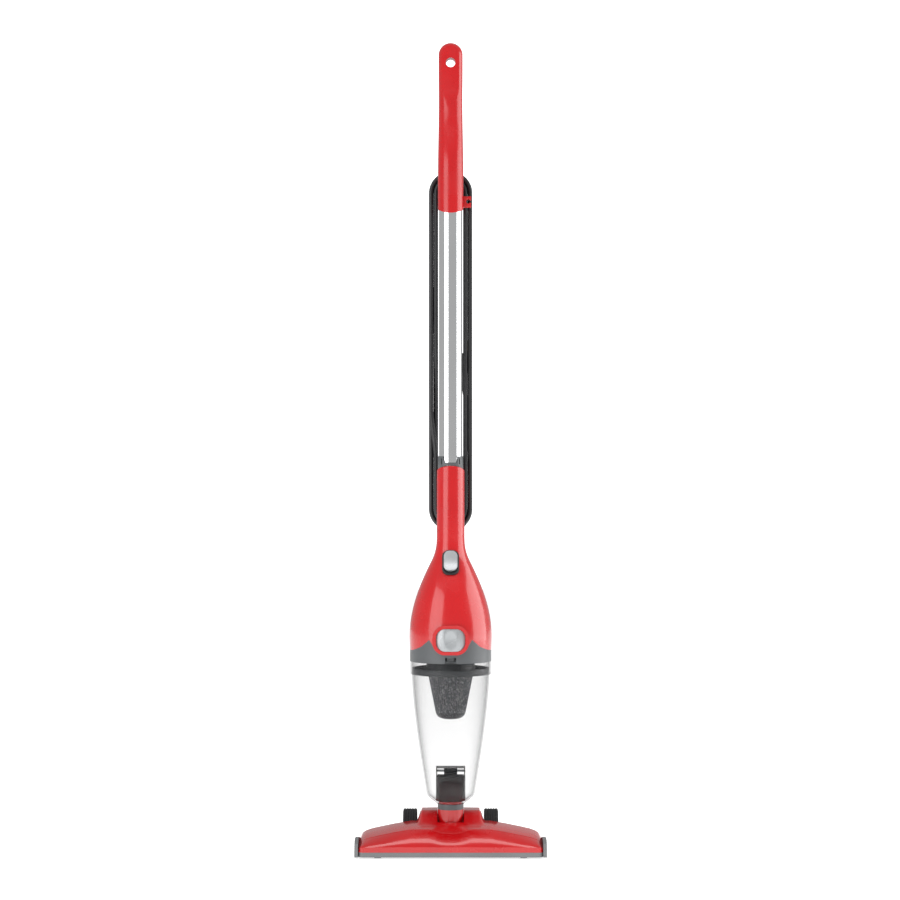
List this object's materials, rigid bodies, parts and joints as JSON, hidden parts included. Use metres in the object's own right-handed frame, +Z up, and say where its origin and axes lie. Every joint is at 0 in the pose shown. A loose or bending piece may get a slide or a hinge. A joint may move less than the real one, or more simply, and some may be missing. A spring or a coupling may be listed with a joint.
{
  "type": "upright vacuum cleaner",
  "caption": "Corded stick vacuum cleaner with a tilting wheeled floor head, clear bagless dust cup, motor unit, steel wand and cord hooks.",
  "frame": {"origin": "on the floor, below the wand's axis: the centre of the machine's footprint", "axes": "+Z up along the wand, -Y the front that faces a person looking at the switch, +X to that person's right"},
  "size_m": [0.258, 0.136, 1.1049],
  "materials": {
    "red_shell": "polished moulded plastic",
    "grey_base": "fine matt moulding",
    "dark_grey_plastic": "satin moulding",
    "black_plastic": "satin moulding",
    "bristle": "nylon tufts",
    "tyre": "soft grooved tread",
    "steel": "plain zinc-plated steel",
    "chrome_tube": "polished steel tube",
    "clear_cup": "clear, lightly smoked moulding",
    "smoked_duct": "smoked clear moulding",
    "filter_fabric": "pleated filter felt",
    "seal_rubber": "soft seal",
    "silver_button": "silver painted moulding",
    "motor_metal": "drawn and pressed can",
    "bronze": "sintered bronze",
    "fan_white": "plain moulding",
    "wire_cover": "insulated wire",
    "cord_black": "moulded PVC cord",
    "plug_brass": "nickel and brass blades"
  },
  "bodies": {
    "floor_head": {"head_cover": "red_shell", "head_base": "grey_base", "front_bristles": "bristle", "rear_bristles": "bristle", "head_screws": "steel", "left_axle": "steel", "right_axle": "steel", "roller_pins": "steel", "pivot_pins": "steel"},
    "left_wheel": {"left_wheel": "black_plastic", "left_tyre": "tyre"},
    "right_wheel": {"right_wheel": "black_plastic", "right_tyre": "tyre"},
    "left_roller": {"left_roller": "dark_grey_plastic"},
    "right_roller": {"right_roller": "dark_grey_plastic"},
    "neck": {"neck_elbow": "red_shell", "neck_collar": "dark_grey_plastic"},
    "dust_cup": {"cup_shell": "clear_cup", "inlet_duct": "smoked_duct", "flap_pin": "steel"},
    "inlet_flap": {"inlet_flap": "seal_rubber"},
    "filter": {"filter_flange": "dark_grey_plastic", "filter_media": "filter_fabric", "filter_cap": "dark_grey_plastic", "filter_seal": "seal_rubber"},
    "motor_unit": {"front_housing": "red_shell", "rear_housing": "red_shell", "lower_collar": "dark_grey_plastic", "intake_grille": "black_plastic", "motor_can": "motor_metal", "bearings": "bronze", "fan_cover": "fan_white", "motor_mounts": "seal_rubber", "switch_frame": "black_plastic", "switch_body": "black_plastic", "wiring": "wire_cover", "button_spring": "steel", "housing_screws": "steel", "wand_tube": "chrome_tube", "wand_ferrule": "dark_grey_plastic", "wand_latch_spring": "steel", "front_handle": "red_shell", "rear_handle": "red_shell", "handle_screws": "steel", "cord_clip": "red_shell", "lower_cord_hook": "black_plastic", "hook_pivot": "steel", "strain_relief": "cord_black", "cord_lead": "cord_black", "cord_hank": "cord_black", "cord_tail": "cord_black", "plug_body": "cord_black", "plug_blades": "plug_brass"},
    "fan": {"motor_shaft": "steel", "impeller": "motor_metal"},
    "power_switch": {"power_switch": "silver_button"},
    "release_button": {"release_button": "silver_button", "latch_hook": "dark_grey_plastic"},
    "wand_latch": {"wand_latch": "silver_button"},
    "upper_hook": {"upper_cord_hook": "black_plastic"}
  },
  "joints": [
    {"name": "head_tilt", "type": "hinge", "parent": "floor_head", "child": "neck", "pos_m": [0, 0.014, 0.03], "axis": [-1, 0, 0], "range_deg": [0, 70]},
    {"name": "left_wheel_spin", "type": "hinge", "parent": "floor_head", "child": "left_wheel", "pos_m": [0, 0.042, 0.026], "axis": [1, 0, 0], "continuous": true},
    {"name": "right_wheel_spin", "type": "hinge", "parent": "floor_head", "child": "right_wheel", "pos_m": [0, 0.042, 0.026], "axis": [1, 0, 0], "continuous": true},
    {"name": "left_roller_spin", "type": "hinge", "parent": "floor_head", "child": "left_roller", "pos_m": [0, -0.0575, 0.006], "axis": [1, 0, 0], "continuous": true},
    {"name": "right_roller_spin", "type": "hinge", "parent": "floor_head", "child": "right_roller", "pos_m": [0, -0.0575, 0.006], "axis": [1, 0, 0], "continuous": true},
    {"name": "cup_lift", "type": "slide", "parent": "neck", "child": "dust_cup", "axis": [0, 0, 1], "range_m": [0, 0.05]},
    {"name": "flap_swing", "type": "hinge", "parent": "dust_cup", "child": "inlet_flap", "pos_m": [0, 0.014, 0.108], "axis": [-1, 0, 0], "range_deg": [0, 60]},
    {"name": "filter_lift", "type": "slide", "parent": "dust_cup", "child": "filter", "axis": [0, 0, 1], "range_m": [0, 0.08]},
    {"name": "motor_unit_lift", "type": "slide", "parent": "filter", "child": "motor_unit", "axis": [0, 0, 1], "range_m": [0, 0.03]},
    {"name": "fan_spin", "type": "hinge", "parent": "motor_unit", "child": "fan", "pos_m": [0, 0, 0.33], "axis": [0, 0, 1], "continuous": true},
    {"name": "power_slide", "type": "slide", "parent": "motor_unit", "child": "power_switch", "axis": [0, -0.4462, -0.8949], "range_m": [0, 0.0035]},
    {"name": "release_push", "type": "slide", "parent": "motor_unit", "child": "release_button", "axis": [0, 1, 0], "range_m": [0, 0.003], "stiffness_N_per_m": 1500, "springref_m": -0.0015, "deforming": ["button_spring"]},
    {"name": "latch_push", "type": "slide", "parent": "motor_unit", "child": "wand_latch", "axis": [0, -1, 0], "range_m": [0, 0.002], "stiffness_N_per_m": 1500, "springref_m": -0.002, "deforming": ["wand_latch_spring"]},
    {"name": "hook_turn", "type": "hinge", "parent": "motor_unit", "child": "upper_hook", "pos_m": [0, 0.03, 0.9005], "axis": [0, 1, 0], "range_deg": [0, 180]}
  ]
}
